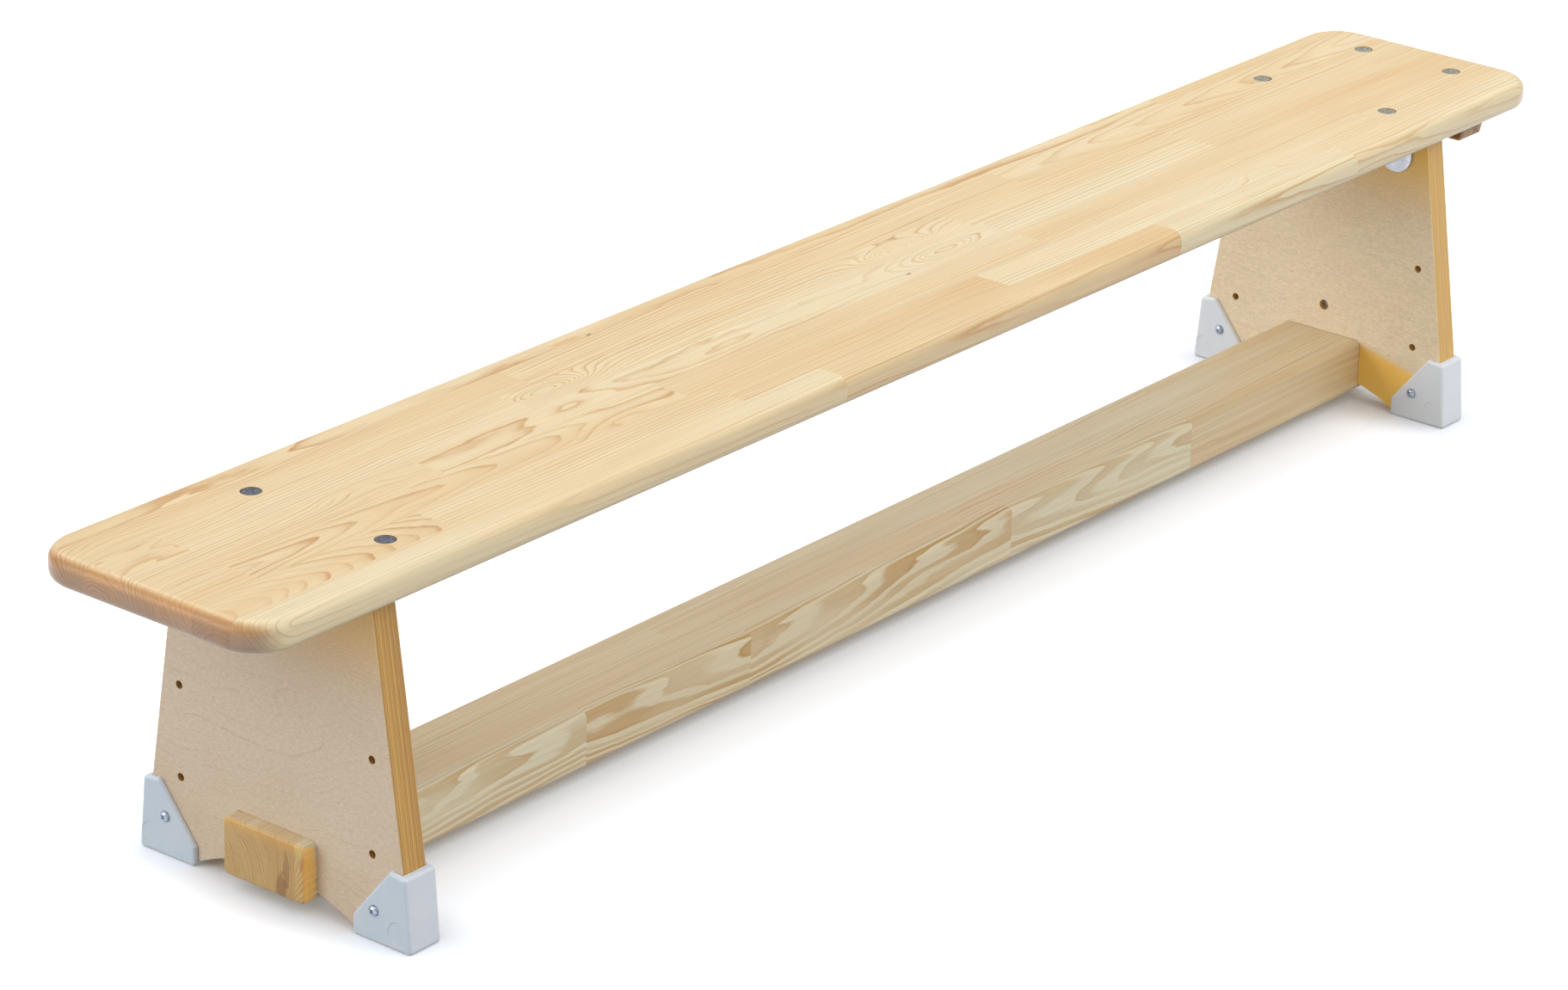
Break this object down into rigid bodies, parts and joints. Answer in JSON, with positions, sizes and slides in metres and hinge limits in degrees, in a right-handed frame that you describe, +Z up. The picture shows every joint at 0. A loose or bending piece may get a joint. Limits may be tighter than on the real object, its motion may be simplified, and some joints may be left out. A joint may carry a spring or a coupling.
{
  "type": "gymnastics bench",
  "caption": "Long low wooden gymnastics bench with a rounded seat board, plywood end legs, a balance beam between them, white foot caps and a hook batten under one end.",
  "frame": {"origin": "on the floor under the middle of the seat, the bottom centre of the overall box", "axes": "+X along the bench towards the end with the hook batten, +Y across it, +Z up"},
  "size_m": [2, 0.3302, 0.35],
  "materials": {
    "seat_pine": "clear satin lacquer on finger-jointed pine",
    "beam_pine": "clear satin lacquer on solid pine",
    "batten_beech": "clear satin lacquer on hardwood",
    "leg_plywood": "clear satin lacquer on plywood",
    "foot_plastic": "white moulded plastic",
    "bracket_zinc": "bright zinc plating",
    "screw_zinc": "bright zinc plating",
    "bolt_steel": "dark worn steel",
    "washer_zinc": "bright zinc plating",
    "nut_zinc": "bright zinc plating",
    "beam_bolt_steel": "plain zinc plating"
  },
  "bodies": {
    "root": {"seat_board": "seat_pine", "balance_beam": "beam_pine", "hook_batten": "batten_beech", "end_leg_near": "leg_plywood", "foot_near_front": "foot_plastic", "angle_bracket_near_front": "bracket_zinc", "bracket_screw_near_front": "screw_zinc", "foot_screw_near_front_outer": "screw_zinc", "foot_screw_near_front_inner": "screw_zinc", "seat_bolt_near_front": "bolt_steel", "seat_washer_near_front": "washer_zinc", "seat_nut_near_front": "nut_zinc", "foot_near_back": "foot_plastic", "angle_bracket_near_back": "bracket_zinc", "bracket_screw_near_back": "screw_zinc", "foot_screw_near_back_outer": "screw_zinc", "foot_screw_near_back_inner": "screw_zinc", "seat_bolt_near_back": "bolt_steel", "seat_washer_near_back": "washer_zinc", "seat_nut_near_back": "nut_zinc", "beam_bolt_near": "beam_bolt_steel", "beam_bolt_washer_near": "washer_zinc", "barrel_nut_near": "beam_bolt_steel", "end_leg_far": "leg_plywood", "foot_far_front": "foot_plastic", "angle_bracket_far_front": "bracket_zinc", "bracket_screw_far_front": "screw_zinc", "foot_screw_far_front_outer": "screw_zinc", "foot_screw_far_front_inner": "screw_zinc", "seat_bolt_far_front": "bolt_steel", "seat_washer_far_front": "washer_zinc", "seat_nut_far_front": "nut_zinc", "foot_far_back": "foot_plastic", "angle_bracket_far_back": "bracket_zinc", "bracket_screw_far_back": "screw_zinc", "foot_screw_far_back_outer": "screw_zinc", "foot_screw_far_back_inner": "screw_zinc", "seat_bolt_far_back": "bolt_steel", "seat_washer_far_back": "washer_zinc", "seat_nut_far_back": "nut_zinc", "beam_bolt_far": "beam_bolt_steel", "beam_bolt_washer_far": "washer_zinc", "barrel_nut_far": "beam_bolt_steel", "batten_bolt_front": "bolt_steel", "batten_washer_front": "washer_zinc", "batten_nut_front": "nut_zinc", "batten_bolt_back": "bolt_steel", "batten_washer_back": "washer_zinc", "batten_nut_back": "nut_zinc"}
  },
  "joints": []
}
